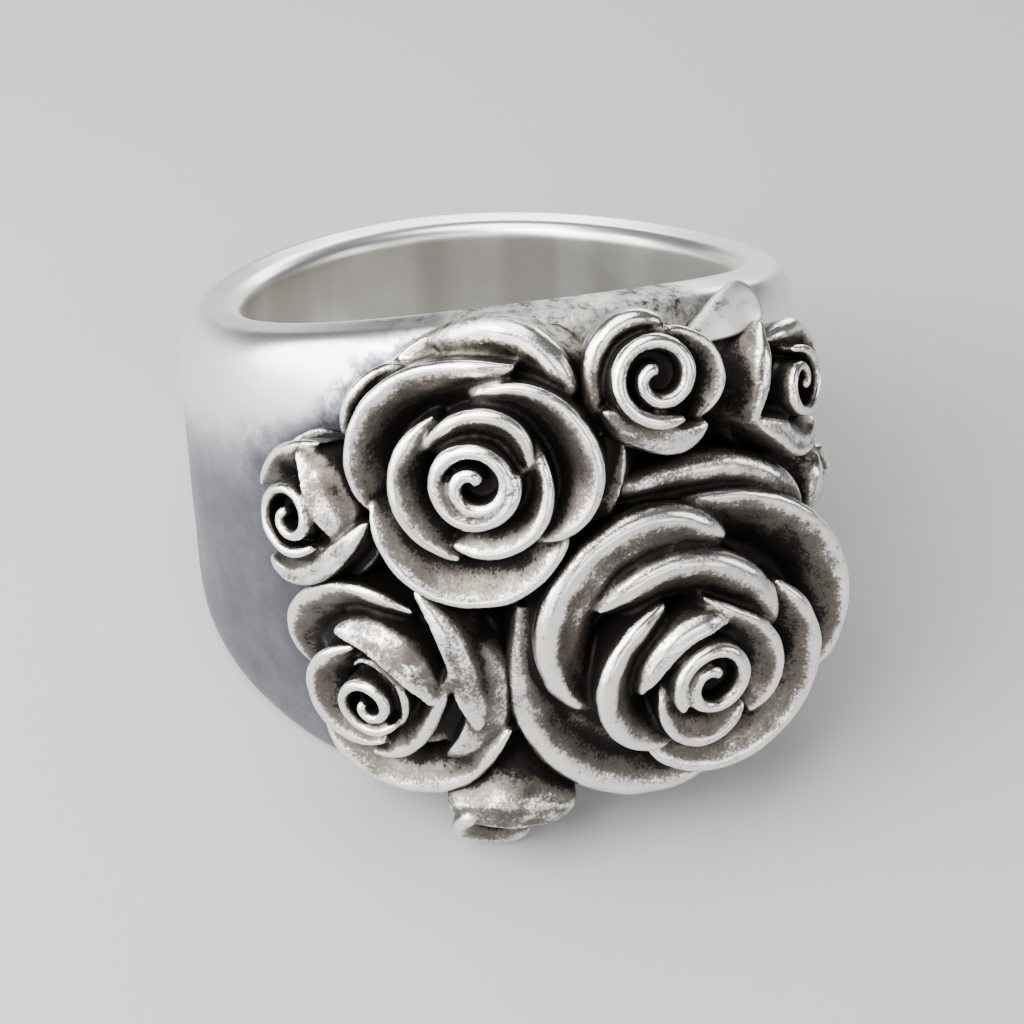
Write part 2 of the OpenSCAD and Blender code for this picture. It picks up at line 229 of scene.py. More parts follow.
LOWER_PETALS = (
    Petal(128, -62, (1.4, 1.7, 1.4, 1.4), (0.3, 0.3, 0.4), 0.2, 0.3, -0.2),
    Petal(125, 12, (2.7, 2.2, 2.0, 2.2), (0.3, 0.2, 0.3), 0.15, 0.28, 0.85, slope=1.5),
    Petal(119, 271, (2.0, 2.7, 3.0, 2.4), (0.5, 0.6, 0.7), 0.8, 0.35, -0.3),
    Petal(-101, 36, (3.3, 2.5, 2.3, 3.3), (0.9, 0.8, 0.7), 0.4, 0.5, -0.2),
    Petal(75, -14, (4.5, 3.55, 3.15, 3.5), (1.0, 0.95, 1.2), 0.15, 0.28, 0.6, slope=1.5),
    Petal(45, -56, (3.7, 3.25, 3.2, 3.4), (1.6, 1.5, 1.6), 0.15, 0.3, 1.0, slope=1.5),
    Petal(-136, -14, (4.0, 4.9, 4.7, 4.4), (1.4, 1.6, 1.9), 0.9, 0.4, -0.5),
    Petal(205, 73, (4.0, 4.3, 4.3, 3.6), (2.5, 1.2, 1.1), 1.0, 0.4, -0.3),
)
LEFT_PETALS = (
    Petal(183, 82, (2.6, 2.3, 2.4, 2.7), (0.8, 0.6, 0.4), 0.5, 0.4, -0.3),
    Petal(97, -15, (2.2, 1.35, 1.25, 1.6), (0, 0.1, 0.4), 0.1, 0.28, 1.1, slope=1.8),
    Petal(-122, 15, (2.7, 2.2, 1.9, 2.8), (0.6, 0.5, 0.6), 0.4, 0.4, 0.35),
    Petal(185, 265, (2.8, 3.0, 3.1, 2.9), (1.7, 1.7, 1.6), 0.5, 0.4, -0.2),
)
TOP_PETALS = (
    Petal(227, 74, (2.5, 2.2, 2.3, 1.8), (1.1, 0.6, 0.4), 0.3, 0.7, -0.4),
    Petal(107, -49, (1.3, 1.8, 2.3, 2.0), (0.4, 0.5, 0.6), 0.6, 0.3, -0.4),
    Petal(-152, -45, (1.9, 1.6, 1.85, 2.3), (0.3, 0.2, 0.3), 0.2, 0.3, 0.7),
)
RIGHT_PETALS = (
    Petal(103, 190, (2.6, 2.1, 2.1, 2.3), (0.4, 0.3, 0.5), 0.3, 0.25, 0.3),
    Petal(108, -22, (2.0, 2.1, 2.4, 2.3), (0.4, 0.4, 0.5), 0.5, 0.6, -0.4),
    Petal(20, -60, (1.7, 1.8, 1.9, 1.9), (0.3, 0.2, 0.4), 0.3, 0.35, -0.2),
    Petal(184, 308, (2.4, 1.9, 2.4, 2.7), (0.4, 0.4, 0.5), 0.5, 0.6, 0.25),
)
FOOT_PETALS = (
    Petal(5, 175, (1.9, 1.2, 1.2, 1.9), (0.5, 0.1, 0.5), 0.2, 0.3, 0.8, slope=1.5),
    Petal(130, 300, (1.9, 2.15, 1.8, 1.5), (0.35, 0.0, 0.15), 0.6, 0.5, -0.1),
    Petal(-85, 17, (1.2, 1.2, 1.5, 2.1), (0.5, 0.5, 0.5), 0.3, 0.4, -0.2),
)
SIDE_PETALS = (
    Petal(57, 302, (0.9, 0.85, 0.85, 0.9), (0.5, 0.35, 0.5), 0.2, 0.3, 0.5),
    Petal(-80, 80, (1.0, 0.95, 0.95, 1.0), (0.4, 0.2, 0.4), 0.3, 0.45, 0.35),
)


def through_four(v: Four, s: float) -> float:
    """A smooth value at share s of the way, through four values spaced evenly."""
    a, b, c, d = 3 * s, 3 * s - 1, 3 * s - 2, 3 * s - 3
    return -v[0] * b * c * d / 6 + v[1] * a * c * d / 2 - v[2] * a * b * d / 2 + v[3] * a * b * c / 6


def through_three(v: Three, s: float) -> float:
    """A smooth value at share s of the way, through three values spaced evenly."""
    return v[0] * (1 - s) * (1 - 2 * s) + 4 * v[1] * s * (1 - s) + v[2] * s * (2 * s - 1)


def arc(across: float, up: float, radius: float, start: float, stop: float, steps: int) -> list[Point]:
    """Points of an arc in a section, about a centre across and up, between two angles in degrees."""
    turns = [radians(start + (stop - start) * i / steps) for i in range(steps + 1)]
    return [(across + radius * cos(a), up + radius * sin(a)) for a in turns]


def swept(sections: list[list[Vector]], ring: bool = False) -> Solid:
    """A closed solid through sections of equal count, shaped out of a grid.

    Args:
        sections: The closed sections in order.
        ring: Whether the last section meets the first.

    Returns:
        The solid as a new bmesh.
    """
    along, sides = len(sections) - (0 if ring else 1), len(sections[0])
    bm = bmesh.new()
    verts = bmesh.ops.create_grid(bm, x_segments=along, y_segments=sides, size=1.0)["verts"]
    low = Vector((min(v.co.x for v in verts), min(v.co.y for v in verts)))
    high = Vector((max(v.co.x for v in verts), max(v.co.y for v in verts)))
    for v in verts:
        i = round((v.co.x - low.x) / (high.x - low.x) * along) % len(sections)
        j = round((v.co.y - low.y) / (high.y - low.y) * sides) % sides
        v.co = sections[i][j]
    bmesh.ops.remove_doubles(bm, verts=bm.verts, dist=SMALLEST_GAP)
    bmesh.ops.holes_fill(bm, edges=[e for e in bm.edges if e.is_boundary], sides=0)
    bmesh.ops.recalc_face_normals(bm, faces=bm.faces)
    return bm


def rows_of(mesh: bpy.types.Mesh, field: str) -> np.ndarray:
    """A field of every vertex, such as its place or its normal.

    Args:
        mesh: The mesh.
        field: The field's name.

    Returns:
        One row of three values a vertex.
    """
    values = np.empty(len(mesh.vertices) * 3)
    mesh.vertices.foreach_get(field, values)
    return values.reshape(-1, 3)


def set_hard(name: str, bm: Solid) -> bpy.types.Mesh:
    """A mesh made from a bmesh, which is freed.

    Args:
        name: The mesh's name.
        bm: The bmesh.

    Returns:
        The mesh.
    """
    mesh = bpy.data.meshes.new(name)
    bm.to_mesh(mesh)
    bm.free()
    return mesh


def stood(name: str, data: bpy.types.ID) -> Object:
    """A new object that stands in the scene.

    Args:
        name: The object's name.
        data: Its mesh, light or camera.

    Returns:
        The object.
    """
    made = bpy.data.objects.new(name, data)
    bpy.context.scene.collection.objects.link(made)
    return made


def poured(into: Solid, part: Solid) -> None:
    """Adds one bmesh's solid to another and frees it.

    Args:
        into: The bmesh that grows.
        part: The bmesh that is added.
    """
    mesh = set_hard("poured", part)
    into.from_mesh(mesh)
    bpy.data.meshes.remove(mesh)


def fused(bm: Solid, grain: float, passes: int) -> Solid:
    """One cast skin over solids that run into each other, with soft fillets where they meet.

    Args:
        bm: The solids, in millimetres. It is freed.
        grain: The size of the skin's cells, in millimetres.
        passes: How often the skin is smoothed.

    Returns:
        The skin as a new bmesh.
    """
    mesh = set_hard("casting", bm)
    casting = stood("casting", mesh)
    skin = casting.modifiers.new("skin", "REMESH")
    skin.mode = "VOXEL"
    skin.voxel_size = grain
    done = bmesh.new()
    done.from_object(casting, bpy.context.evaluated_depsgraph_get())
    bpy.data.objects.remove(casting)
    bpy.data.meshes.remove(mesh)
    for _ in range(passes):
        bmesh.ops.smooth_vert(done, verts=done.verts, factor=0.5, use_axis_x=True, use_axis_y=True, use_axis_z=True)
    return done


def roughed(bm: Solid, size: float, depth: float, seed: float) -> None:
    """Moves a skin in and out a little, as a hand leaves it.

    Args:
        bm: The skin.
        size: The size of the unevenness, in millimetres.
        depth: How far it moves the skin.
        seed: Which unevenness it is.
    """
    bm.normal_update()
    shift = Vector((seed * 7.31, seed * 3.17, seed * 5.53))
    moves = [v.normal * depth * noise.noise(v.co / size + shift) for v in bm.verts]
    for v, move in zip(bm.verts, moves):
        v.co += move


def piece(name: str, bm: Solid, place: Matrix) -> Object:
    """A finished piece of the ring, riding on its body in place of the plain solid.

    Args:
        name: The piece's name.
        bm: Its mesh, which is freed.
        place: What carries the mesh from its own frame into the ring's, in metres.

    Returns:
        The object, at the origin, with its place in its mesh.
    """
    bmesh.ops.transform(bm, matrix=place, verts=bm.verts)
    mesh = set_hard(name, bm)
    mesh.shade_smooth()
    made = stood(name, mesh)
    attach(made, BODY)
    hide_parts(NODE)
    log.info("%s: %d faces", name, len(mesh.polygons))
    return made


@dataclass
class Rose:
    """A rose of rolled petals round a coiled bud."""

    name: str
    place: Place
    petals: tuple[Petal, ...]
    coil: Coil
    seed: float
    grain: float = 0.085
    smoothings: int = 2
    dents: Point = (0.9, 0.035)
    tooth: Point = (0.25, 0.007)
    foot_stagger: float = 0.06
    seed_stagger: float = 1.7
    petal_step: float = 4.0
    least_steps: int = 14
    coil_step: float = 8.0
    sway_depth: float = 0.06
    lilt_depth: float = 0.05
    lip_drop: float = 0.08
    face_spread: float = 1.15
    roll_spread: float = 1.2
    rim_spread: float = 0.58
    flap_slope: float = 0.7
    rim_most: float = 0.5
    rim_arc: Point = (-35.0, 100.0)
    flap_arc: float = 50.0
    rim_steps: int = 7
    face_steps: int = 6
    tip_length: float = 1.3
    tip_drop: float = 0.3
    groove_in: float = 0.15
    groove_drop: float = 0.45
    floor_drop: float = 0.3
    floor_width: float = 1.4
    floor_least: float = 0.05
    coil_tip: float = 0.7
    coil_wander: float = 0.04
    coil_drop: float = 0.15
    coil_depth: float = 1.2
    column_r: float = 0.95
    column_sunk: float = 0.75
    drum_sunk: float = 2.15
    bed_rise: float = 0.65
    bed_spread: float = 1.4
    cone_sides: int = 48
    cone_taper: float = 0.96
    back_reach: float = 11.0
    back_under: float = 0.9
    back_fade: float = 0.8
    root_reach: float = 9.7

    def petal_section(self, row: Petal, s: float, foot: float, seed: float) -> list[Point]:
        """A petal's section: outer wall, rounded rim, cushioned face, groove and the hollow's floor.

        Args:
            row: The petal.
            s: The share of the way along its rim.
            foot: The depth of its foot.
            seed: Which petal it is.

        Returns:
            The section's points, outwards from the bud and up.
        """
        sway = noise.noise(Vector((s * 3.1, seed, self.seed)))
        lilt = noise.noise(Vector((s * 4.3, seed + 9, self.seed)))
        full = row.fullness(s, self.tip_length)
        reach = through_four(row.reach, s) + self.sway_depth * sway
        top = -through_three(row.sunk, s) + self.lilt_depth * lilt - self.tip_drop * (1 - full)
        rim = min(self.rim_most, row.roll * self.rim_spread) * (0.5 + 0.5 * full) * (1 + 0.15 * lilt)
        width = (row.roll * self.roll_spread + row.face * self.face_spread) * (0.25 + 0.75 * full)
        width = min(width, reach - 0.1)
        start, stop = self.rim_arc
        if row.skirt > 0:
            out = row.skirt * (0.12 + 0.88 * full)
            drop = self.flap_slope * out
            wall = [
                (reach + out - 0.1, -foot),
                (reach + out, top - drop - 0.35),
                (reach + out * 0.93, top - drop * 0.95 - 0.08),
                (reach + out * 0.5, top - drop * 0.42),
            ]
            start = self.flap_arc
        else:
            waist, neck = (reach - 0.5 * rim, top - 3.2 * rim), (reach - 0.3 * rim, top - 2 * rim)
            wall = [(reach + row.skirt, -foot), waist, neck]
        edge = arc(reach - rim, top - rim, rim, start, stop, self.rim_steps)
        face = []
        for i in range(1, self.face_steps + 1):
            u = i / self.face_steps
            fold = row.fold * sin(u * 2 * pi) * full
            drop = self.lip_drop * min(1.0, u * 3) + row.slope * width * u * (0.15 + 0.85 * u)
            face.append((reach - rim * 1.2 - (width - rim * 1.2) * u, top - drop - fold))
        low = face[-1][1] - self.groove_drop
        floor = max(self.floor_least, reach - width - self.floor_width)
        groove = [(max(floor, reach - width - self.groove_in), low), (floor * 0.9, low - self.floor_drop)]
        return wall + edge + face + groove + [(floor * 0.9, -foot)]

    def coil_section(self, s: float) -> list[Point]:
        """The coiled strip's section.

        Args:
            s: The share of the way along it.

        Returns:
            The section's points, outwards from the bud and up.
        """
        row = self.coil
        reach = through_four(row.reach, s)
        full = row.fullness(s, self.coil_tip)
        wander = self.coil_wander * noise.noise(Vector((s * 5, 3, self.seed)))
        top = wander - row.sunk - self.coil_drop * (1 - full)
        width = row.width * (0.5 + 0.5 * full)
        half = width / 2
        crown = arc(reach - half, top - half * 0.6, half, 0, 180, 6)
        return [(reach, -self.coil_depth)] + crown + [(reach - width, -self.coil_depth)]

    def rolled(self, row: Strip, steps: int, section: Callable[[float], list[Point]]) -> Solid:
        """A strip rolled about the bud.

        Args:
            row: The strip.
            steps: How many steps it takes.
            section: Its section at a share of the way.

        Returns:
            The strip as a new bmesh.
        """
        sections = []
        for i in range(steps + 1):
            a = row.way(i / steps)
            sections.append([Vector((r * cos(a), r * sin(a), z)) for r, z in section(i / steps)])
        return swept(sections)

    def middle(self, bm: Solid) -> None:
        """Adds the column under the bud, the drum under the petals and the bed on the band.

        Args:
            bm: The rose's bmesh.
        """
        at = self.place
        stack = (
            (min(at.mound * 0.8, self.column_r), -self.column_sunk),
            (at.mound, -self.drum_sunk),
            (at.mound * self.bed_spread, -at.lift + self.bed_rise),
        )
        for radius, top in stack:
            height = at.foot + top
            bmesh.ops.create_cone(
                bm,
                cap_ends=True,
                segments=self.cone_sides,
                radius1=radius,
                radius2=radius * self.cone_taper,
                depth=height,
                matrix=Matrix.Translation((0, 0, top - height / 2)),
            )

    def build(self) -> Object:
        """Builds the rose.

        Returns:
            The finished piece.
        """
        bm = bmesh.new()
        for index, row in enumerate(self.petals):
            foot = self.place.foot + self.foot_stagger * index
            section = partial(self.petal_section, row, foot=foot, seed=index * self.seed_stagger)
            poured(bm, self.rolled(row, max(self.least_steps, row.steps(self.petal_step)), section))
        poured(bm, self.rolled(self.coil, self.coil.steps(self.coil_step), self.coil_section))
        self.middle(bm)
        skin = fused(bm, self.grain, self.smoothings)
        roughed(skin, *self.dents, self.seed)
        roughed(skin, *self.tooth, self.seed + 4)
        place = RING.seat(self.place)
        self.filed(skin, place)
        return piece(self.name, skin, place)

    def filed(self, skin: Solid, place: Matrix) -> None:
        """Files the rose's back flush over the upper rim, and its root flush inside the band's wall.

        Args:
            skin: The rose's skin.
            place: What carries the rose onto the band.
        """
        to_band = RING.set_down().inverted() @ place
        back = to_band.inverted()
        for v in skin.verts:
            spot = to_band @ v.co
            reach = hypot(spot.x, spot.y)
            turn = degrees(atan2(spot.x, -spot.y))
            over = min(1.0, max(0.0, (spot.z - RING.rim_top(turn) + self.back_under) / self.back_fade))
            least = self.root_reach + (self.back_reach - self.root_reach) * over
            if reach < least:
                v.co = back @ Vector((spot.x * least / reach, spot.y * least / reach, spot.z))


ROSES = (
    Rose("upper_rose", UPPER_PLACE, UPPER_PETALS, UPPER_COIL, seed=1.0),
    Rose("great_rose", GREAT_PLACE, GREAT_PETALS, GREAT_COIL, seed=2.0, grain=0.095, drum_sunk=2.9),
    Rose("lower_rose", LOWER_PLACE, LOWER_PETALS, LOWER_COIL, seed=3.0, tip_length=1.9),
    Rose("left_rose", LEFT_PLACE, LEFT_PETALS, LEFT_COIL, seed=4.0, grain=0.07),
    Rose("top_rose", TOP_PLACE, TOP_PETALS, TOP_COIL, seed=5.0, grain=0.07),
    Rose("right_rose", RIGHT_PLACE, RIGHT_PETALS, RIGHT_COIL, seed=6.0, grain=0.07),
    Rose("foot_rose", FOOT_PLACE, FOOT_PETALS, FOOT_COIL, seed=7.0, grain=0.07, tip_length=0.6),
    Rose("side_rose", SIDE_PLACE, SIDE_PETALS, SIDE_COIL, seed=8.0, grain=0.07, bed_rise=1.2),
)


@dataclass
class Leaf:
    """The smooth leaf beside the top rose, broad at its upper right."""

    name: str = "leaf"
    place: Place = Place(way=23.4, height=9.7, lift=0.6, turn=4.0, tilt=35.0)
    point: float = 22.5
    length: float = 2.9
    width: float = 1.6
    thick: float = 0.85
    end: float = 0.84
    steps: int = 40
    crown_steps: int = 13
    grain: float = 0.06
    smoothings: int = 3
    dents: Point = (0.8, 0.03)
    seed: float = 2.5

    def section(self, s: float) -> list[Vector]:
        """The leaf's section across, at a share of its length from the tip.

        Args:
            s: The share of the length.

        Returns:
            The section's points.
        """
        half = self.width * (0.16 + 0.36 * sin(min(1.0, s * 1.3) * pi / 2) ** 1.2)
        if s > self.end:
            half *= sqrt(max(0.04, 1 - ((s - self.end) / 0.17) ** 2))
        along = self.length * (s - 0.52)
        crest = -self.thick * (0.4 - 0.3 * sin(s * pi) ** 0.7)
        points = []
        for i in range(self.crown_steps + 1):
            a = pi * i / self.crown_steps
            across = half * copysign(abs(cos(a)) ** 0.7, cos(a))
            points.append(Vector((along, across, crest + self.thick * 0.28 * max(0.0, sin(a)) ** 0.5)))
        low = -self.thick * 1.3
        return points + [Vector((along, -half * 0.6, low)), Vector((along, half * 0.6, low))]

    def build(self) -> Object:
        """Builds the leaf.

        Returns:
            The finished piece.
        """
        sections = [self.section(i / self.steps) for i in range(self.steps + 1)]
        skin = fused(swept(sections), self.grain, self.smoothings)
        roughed(skin, *self.dents, self.seed)
        point = Matrix.Rotation(radians(self.point), 4, "Z")
        return piece(self.name, skin, RING.seat(self.place) @ point)


@dataclass
class Band:
    """The wide band, with its finger hole and rounded rims."""

    name: str = "band"
    steps: int = 420
    wall_steps: int = 26
    edge_steps: int = 8
    crown_steps: int = 16
    rim_steps: int = 8
    dent: float = 0.05
    dent_size: float = 2.6
    crown_in: float = 1.2
    crown_down: float = 3.3
    lip: float = 0.6
    bore_margin: float = 0.08

    def outline(self, turn: float) -> list[Point]:
        """The wall's outline at a way round: outer wall, upper rim, inner wall, lower rim.

        Args:
            turn: The way round, in degrees from the front.

        Returns:
            The outline's points, outwards and up.
        """
        up, outer, inner = RING.rim_top(turn), RING.rim_edge, RING.bore_edge
        low_out, low_in = RING.rim_low(turn, RING.band_r), RING.rim_low(turn, RING.bore_r)
        crown = [radians(90 * i / self.crown_steps) for i in range(self.crown_steps + 1)]
        top_out = [(RING.band_r - self.crown_in * (1 - cos(a)), up - self.crown_down * (1 - sin(a))) for a in crown]
        top_in = arc(RING.bore_r + self.lip, up - self.lip, self.lip, 90, 180, self.edge_steps)
        foot_in = arc(RING.bore_r + inner, low_in + inner, inner, 180, 270, self.edge_steps // 2)
        foot_out = arc(RING.band_r - outer, low_out + outer, outer, 270, 360, self.edge_steps)
        wall_in = self.between(top_in[-1], foot_in[0], self.wall_steps)
        wall_out = self.between(foot_out[-1], top_out[0], self.wall_steps)
        rim = self.between(top_out[-1], top_in[0], self.rim_steps)
        return top_out + rim + top_in + wall_in + foot_in + foot_out + wall_out

    def between(self, a: Point, b: Point, steps: int) -> list[Point]:
        """Points in even steps between two others, without those two."""
        shares = [i / steps for i in range(1, steps)]
        return [(a[0] + (b[0] - a[0]) * s, a[1] + (b[1] - a[1]) * s) for s in shares]

    def build(self) -> Object:
        """Builds the band.

        Returns:
            The finished piece.
        """
        sections = []
        for i in range(self.steps):
            turn = 360 * i / self.steps
            a = radians(turn)
            sections.append([Vector((r * sin(a), -r * cos(a), z)) for r, z in self.outline(turn)])
        bm = swept(sections, ring=True)
        bm.normal_update()
        for v in bm.verts:
            outer = max(0.0, (hypot(v.co.x, v.co.y) - RING.band_r + 1.1) / 0.9)
            fade = min(1.0, outer, max(0.0, v.co.z - RING.rim_low(0, RING.band_r)))
            v.co += v.normal * self.dent * fade * (noise.noise(v.co / self.dent_size) - 0.5)
            v.co.z = max(v.co.z, v.co.y * tan(radians(RING.lean)) - RING.rim_down)
        return piece(self.name, bm, RING.set_down())

    def dress(self, made: Object, wall: Material, bore: Material) -> None:
        """Gives the wall one finish and the finger hole another.

        Args:
            made: The band.
            wall: The wall's finish.
            bore: The finger hole's finish.
        """
        made.data.materials.append(wall)
        made.data.materials.append(bore)
        back = Matrix.Rotation(radians(-RING.lean), 3, "X").inverted()
        for face in made.data.polygons:
            spot = back @ face.center
            face.material_index = 1 if hypot(spot.x, spot.y) < (RING.bore_r + self.bore_margin) * MM else 0


@dataclass(frozen=True)
class Patch:
    """A patch where the silver is darker (stain above 0), brighter (below 0) or rough and pitted."""

    way: float
    height: float
    size: float
    stain: float = 0.0
    rough: float = 0.0
    reach: float = 12.5


PATCHES = (
    Patch(-33, 8.6, 1.3, stain=0.55),
    Patch(-39, 7.4, 0.9, stain=0.5),
    Patch(-25, 9.9, 1.1, stain=0.55),
    Patch(-39, 5.6, 1.2, stain=0.6),
    Patch(-55, 3.6, 1.6, stain=0.3),
    Patch(-46, -1.0, 1.6, stain=0.3),
    Patch(-14, 10.9, 1.6, stain=-0.5, reach=20.0),
    Patch(-19, 10.3, 1.3, stain=0.1, rough=0.8),
    Patch(-10, 10.4, 1.5, stain=0.15, rough=1.0),
    Patch(-2, 10.4, 1.3, stain=0.15, rough=1.0),
    Patch(13, 10.3, 1.4, stain=0.15, rough=1.0),
    Patch(20, 9.9, 1.2, stain=0.2, rough=0.9),
    Patch(20, 8.0, 1.4, stain=0.15, reach=15.0),
    Patch(46, 1.5, 1.6, stain=0.6, reach=13.3),
    Patch(26, 2.4, 2.4, stain=0.2, reach=20.0),
    Patch(-37.6, 5.6, 1.1, stain=0.25, reach=20.0),
    Patch(-28.7, 0.1, 1.2, stain=0.25, reach=20.0),
    Patch(-20, -0.8, 1.2, stain=0.25, reach=20.0),
    Patch(-12, -7.2, 1.6, stain=0.28, reach=20.0),
)


@dataclass(frozen=True)
class Wear:
    """How open and how raised each point of a skin lies, which the tarnish follows."""

    rays: int = 30
    reach: float = 2.2 * MM
    off: float = 0.03 * MM
    relief_passes: int = 40
    relief_depth: float = 0.12 * MM
    # the crown settings shape a painted highlight: the band's wall is painted brighter just under its upper rim,
    # fading downwards
    crown: float = 7.0
    crown_fade: float = 6.2
    crown_highlight: float = 0.9
    crown_margin: float = 0.2
    patch_fade: float = 0.5
    least_lean: float = 0.15
    openness_passes: int = 3

    def directions(self) -> list[Vector]:
        """Even directions all round.

        Returns:
            The directions.
        """
        golden = pi * (3 - sqrt(5))
        out = []
        for i in range(self.rays):
            z = 1 - 2 * (i + 0.5) / self.rays
            r = sqrt(1 - z * z)
            out.append(Vector((r * cos(golden * i), r * sin(golden * i), z)))
        return out

    def openness(self, made: Object, tree: BVHTree) -> np.ndarray:
        """How much of the sky over each vertex the pieces leave open.

        Args:
            made: The piece.
            tree: The tree of every piece's faces.

        Returns:
            One share a vertex, from 0 to 1.
        """
        ways = self.directions()
        cast, reach, off, least = tree.ray_cast, self.reach, self.off, self.least_lean
        out = np.zeros(len(made.data.vertices))
        for k, v in enumerate(made.data.vertices):
            normal = v.normal
            start = v.co + normal * off
            seen = total = 0.0
            for way in ways:
                weight = normal.dot(way)
                if weight > least:
                    total += weight
                    if cast(start, way, reach)[0] is None:
                        seen += weight
            out[k] = seen / total if total else 1.0
        return out

    def spread(self, values: np.ndarray, pairs: np.ndarray, passes: int) -> np.ndarray:
        """Values smoothed over neighbouring vertices.

        Args:
            values: One value or row a vertex.
            pairs: The vertices of each edge.
            passes: How often they are smoothed.

        Returns:
            The smoothed values.
        """
        count = len(values)
        ends = np.concatenate([pairs[:, 0], pairs[:, 1]])
        others = np.concatenate([pairs[:, 1], pairs[:, 0]])
        degree = np.maximum(np.bincount(ends, minlength=count), 1)
        columns = values.reshape(count, -1)
        for _ in range(passes):
            near = [np.bincount(ends, weights=column[others], minlength=count) for column in columns.T]
            columns = 0.5 * columns + 0.5 * np.stack(near, 1) / degree[:, None]
        return columns.reshape(values.shape)

    def relief(self, made: Object, pairs: np.ndarray) -> np.ndarray:
        """How far each vertex stands out of the skin around it.

        Args:
            made: The piece.
            pairs: The vertices of each edge.

        Returns:
            One value a vertex, from -1 in a groove to 1 on a ridge.
        """
        co = rows_of(made.data, "co")
        around = self.spread(co, pairs, self.relief_passes)
        out = ((co - around) * rows_of(made.data, "normal")).sum(1) / self.relief_depth
        return np.clip(out, -1, 1)

    def patched(self, made: Object) -> tuple[np.ndarray, np.ndarray, np.ndarray]:
        """How stained and rough the patches leave each vertex, and how much painted highlight it gets under the
        upper rim, where the band's wall is painted lighter towards the top.

        Args:
            made: The piece.

        Returns:
            The stain, the roughness and the painted highlight, each one value a vertex.
        """
        lean = radians(RING.lean)
        x, y, z = (rows_of(made.data, "co") / MM).T
        y, z = y * cos(lean) - z * sin(lean), y * sin(lean) + z * cos(lean) - RING.rim_down
        way = np.arctan2(x, -y)
        under = RING.rim_up + RING.rim_rise * np.cos(way) + RING.rim_swell * np.cos(2 * way) - z
        near = np.clip((self.crown - under) / self.crown_fade, 0, 1)
        near *= np.hypot(x, y) < RING.band_r + self.crown_margin
        # painted highlight: brightest right under the upper rim, easing off over some millimetres down the wall
        painted_highlight = self.crown_highlight * near**2 * (3 - 2 * near)
        stain, rough = np.zeros(len(x)), np.zeros(len(x))
        for patch in PATCHES:
            off = (way - radians(patch.way)) * RING.band_r
            weight = np.exp(-((off**2 + (z - patch.height) ** 2) / patch.size**2))
            weight *= np.clip((patch.reach - np.hypot(x, y)) / self.patch_fade, 0, 1)
            stain += patch.stain * weight
            rough += patch.rough * weight
        return stain, np.minimum(rough, 1.0), painted_highlight

    def mark(self, pieces: list[Object]) -> None:
        """Writes every measure onto every piece.

        Args:
            pieces: The pieces.
        """
        together = bmesh.new()
        for made in pieces:
            together.from_mesh(made.data)
        tree = BVHTree.FromBMesh(together)
        together.free()
        for made in pieces:
            pairs = np.empty(len(made.data.edges) * 2, dtype=np.int32)
            made.data.edges.foreach_get("vertices", pairs)
            pairs = pairs.reshape(-1, 2)
            stain, rough, painted_highlight = self.patched(made)
            measures = (
                ("openness", self.spread(self.openness(made, tree), pairs, self.openness_passes)),
                ("relief", self.spread(self.relief(made, pairs), pairs, 1)),
                ("stain", stain),
                ("rough", rough),
                # the crown measure is a painted highlight under the upper rim, not real polish
                ("painted_highlight", painted_highlight),
            )
            for title, values in measures:
                layer = made.data.attributes.new(title, "FLOAT", "POINT")
                layer.data.foreach_set("value", values.astype(np.float32))
            low, high = measures[0][1].min(), measures[0][1].max()
            log.info("%s: openness from %.2f to %.2f", made.name, low, high)


@dataclass(frozen=True)
class Nodes:
    """A short way to build a node tree."""

    tree: Tree

    def add(self, kind: str, inputs: dict | None = None, **settings: object) -> bpy.types.Node:
        """Adds a node.

        Args:
            kind: The node's type, without its prefix.
            inputs: Each input's name or number, with a socket to link or a value to set.
            **settings: The node's own properties.

        Returns:
            The node.
        """
        made = self.tree.nodes.new(f"ShaderNode{kind}")
        for title, value in settings.items():
            setattr(made, title, value)
        for key, value in (inputs or {}).items():
            socket = made.inputs[key]
            if isinstance(value, Socket):
                self.tree.links.new(value, socket)
            else:
                socket.default_value = value
        return made

    def maths(self, how: str, a: object, b: object) -> Socket:
        """The result of an operation on two values or sockets."""
        return self.add("Math", {0: a, 1: b}, operation=how).outputs[0]

    def times(self, a: object, b: object) -> Socket:
        """The product of two values."""
        return self.maths("MULTIPLY", a, b)

    def plus(self, total: object, value: object, weight: object) -> Socket:
        """A total with a weighted value added to it."""
        return self.maths("ADD", total, self.times(value, weight))

    def measure(self, title: str) -> Socket:
        """A measure that the wear left on the piece."""
        return self.add("Attribute", attribute_name=title).outputs["Fac"]

    def spread(self, value: object, low: object, high: object, to: Point = (0.0, 1.0)) -> Socket:
        """A value eased from the range low to high into another range."""
        inputs = {"Value": value, "From Min": low, "From Max": high, "To Min": to[0], "To Max": to[1]}
        return self.add("MapRange", inputs, interpolation_type="SMOOTHSTEP").outputs[0]

    def blend(self, share: object, a: object, b: object) -> Socket:
        """The first colour with a share of the second one laid over it."""
        return self.add("Mix", {0: share, 6: a, 7: b}, data_type="RGBA").outputs[2]

    def grain(
        self, scale: float, detail: float, rough: float = 0.5, stretch: Three = (1, 1, 1), turn: Three = (0, 0, 0)
    ) -> Socket:
        """Noise fixed to the piece, with its scale in features a millimetre.

        Args:
            scale: How many features a millimetre holds.
            detail: How fine the noise goes.
            rough: How strong the fine parts are.
            stretch: How much finer it is along each axis.
            turn: How its axes are turned, in radians.

        Returns:
            The noise's value.
        """
        where = self.add("TexCoord").outputs["Object"]
        size = tuple(scale * 1000 * s for s in stretch)
        placed = self.add("Mapping", {"Vector": where, "Scale": size, "Rotation": turn}).outputs[0]
        inputs = {"Vector": placed, "Scale": 1.0, "Detail": detail, "Roughness": rough}
        return self.add("TexNoise", inputs).outputs[0]


